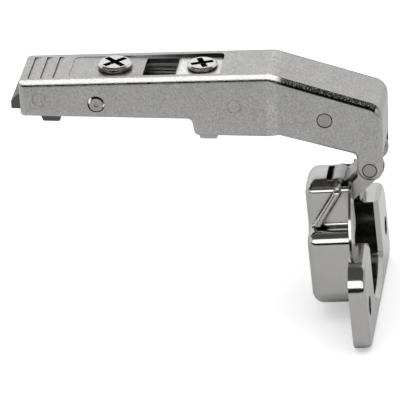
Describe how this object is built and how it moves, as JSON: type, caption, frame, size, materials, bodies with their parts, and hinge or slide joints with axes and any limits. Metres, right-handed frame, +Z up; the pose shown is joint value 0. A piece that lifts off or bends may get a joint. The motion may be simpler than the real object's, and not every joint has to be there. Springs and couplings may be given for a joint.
{
  "type": "cabinet hinge",
  "caption": "Cranked clip-on cup hinge for a cabinet door, shown open: channel arm with adjusting screws, linked to a drawn cup with a winged flange.",
  "frame": {"origin": "on the clip's seat plane, 0.75 mm above the arm's lower edges, under the depth screw's axis, midway between the arm's cheeks", "axes": "+X along the arm from its back end towards the cup, +Y along the pivots, +Z up from the seat plane towards the arm's top"},
  "size_m": [0.0941, 0.057, 0.0668],
  "materials": {
    "satin_nickel": "satin nickel plating with a fine grain",
    "bright_nickel": "glossy nickel plating on a deep-drawn sheet",
    "screw_nickel": "bright nickel-plated screw",
    "steel": "plain turned or stamped steel",
    "spring_steel": "drawn spring wire"
  },
  "bodies": {
    "adapter": {"clip_adapter": "satin_nickel", "lever_pin": "steel", "lever_spring": "spring_steel"},
    "lever": {"release_lever": "steel"},
    "tilt_pin": {"adapter_pin": "steel"},
    "arm": {"hinge_arm": "satin_nickel", "outer_link_pin": "steel", "inner_link_pin": "steel"},
    "depth": {"depth_screw": "screw_nickel", "depth_cam": "steel"},
    "side": {"side_screw": "screw_nickel"},
    "inner": {"inner_link": "satin_nickel"},
    "outer": {"outer_link": "satin_nickel"},
    "cup": {"hinge_cup": "bright_nickel", "cup_axle": "steel", "closing_spring_near": "spring_steel", "closing_spring_far": "spring_steel"}
  },
  "joints": [
    {"name": "cup_turn", "type": "hinge", "parent": "inner", "child": "cup", "pos_m": [0.0561, 0, -0.0204], "axis": [0, -1, 0], "range_deg": [-7.9, 136.5], "deforming": ["closing_spring_near", "closing_spring_far"]},
    {"name": "inner_link_swing", "type": "hinge", "parent": "arm", "child": "inner", "pos_m": [0.0535, 0, 0], "axis": [0, -1, 0], "range_deg": [-54, 3.5]},
    {"name": "outer_link_swing", "type": "hinge", "parent": "arm", "child": "outer", "pos_m": [0.0645, 0, -0.0136], "axis": [0, -1, 0], "range_deg": [-32, 2.2]},
    {"name": "depth_turn", "type": "hinge", "parent": "arm", "child": "depth", "pos_m": [0, 0, 0.0085], "axis": [0, 0, 1], "range_deg": [-217, 325]},
    {"name": "side_turn", "type": "hinge", "parent": "arm", "child": "side", "pos_m": [0.0221, 0, 0.0085], "axis": [0, 0, 1], "range_deg": [-541, 541]},
    {"name": "arm_slide", "type": "slide", "parent": "adapter", "child": "tilt_pin", "axis": [1, 0, 0], "range_m": [-0.003, 0.002]},
    {"name": "arm_tilt", "type": "hinge", "parent": "tilt_pin", "child": "arm", "pos_m": [-0.0039, 0, 0.00296], "axis": [0, 1, 0], "range_deg": [-1.5, 1.5]},
    {"name": "lever_press", "type": "hinge", "parent": "adapter", "child": "lever", "pos_m": [-0.0183, 0, 0.0036], "axis": [0, 1, 0], "range_deg": [0, 12], "stiffness_Nm_per_rad": 0.01, "springref_deg": -11.46, "deforming": ["lever_spring"]}
  ],
  "couplings": [
    {"joint": "inner_link_swing", "follows": "cup_turn", "ratio": -0.37003},
    {"joint": "outer_link_swing", "follows": "cup_turn", "ratio": -0.2178},
    {"joint": "depth_turn", "follows": "arm_slide", "rad_per_m": -1885},
    {"joint": "side_turn", "follows": "arm_tilt", "ratio": 360}
  ]
}
